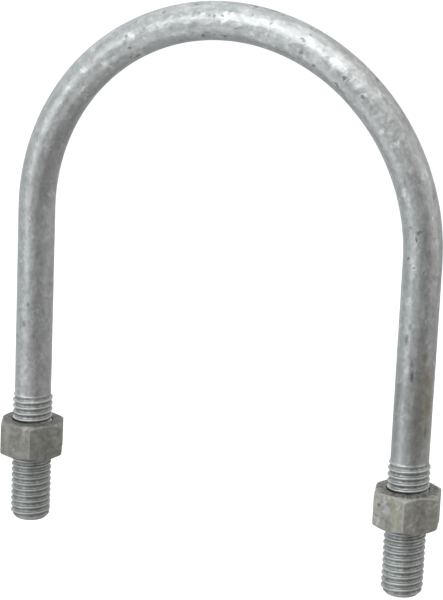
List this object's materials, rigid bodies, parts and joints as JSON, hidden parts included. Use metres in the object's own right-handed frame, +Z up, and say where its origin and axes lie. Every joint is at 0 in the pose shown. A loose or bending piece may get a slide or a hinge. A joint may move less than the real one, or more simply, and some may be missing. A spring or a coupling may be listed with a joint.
{
  "type": "pipe u-bolt",
  "caption": "Round bar bent to a half circle with two parallel threaded legs and a hex nut on each leg, for clamping a pipe to a flat support.",
  "frame": {"origin": "on the ground, midway between the two leg ends", "axes": "+Z up from the leg ends to the top of the bend, +X from the left leg to the right leg, +Y along the axis of the pipe that the bend holds, away from the viewer"},
  "size_m": [0.1507, 0.0216, 0.1721],
  "materials": {
    "galvanised_bar": "hot-dip galvanised: light blotchy satin grey with bright smears, small pits and faint stains",
    "galvanised_nut": "hot-dip galvanised, dull: matt olive grey with darker patches"
  },
  "bodies": {
    "rod": {"bent_rod": "galvanised_bar"},
    "left_nut_body": {"left_nut": "galvanised_nut"},
    "right_nut_body": {"right_nut": "galvanised_nut"}
  },
  "joints": [
    {"name": "left_nut_travel", "type": "slide", "parent": "rod", "child": "left_nut_body", "axis": [0, 0, 1], "range_m": [-0.03517, 0.00586]},
    {"name": "right_nut_travel", "type": "slide", "parent": "rod", "child": "right_nut_body", "axis": [0, 0, 1], "range_m": [-0.03517, 0.00586]}
  ]
}
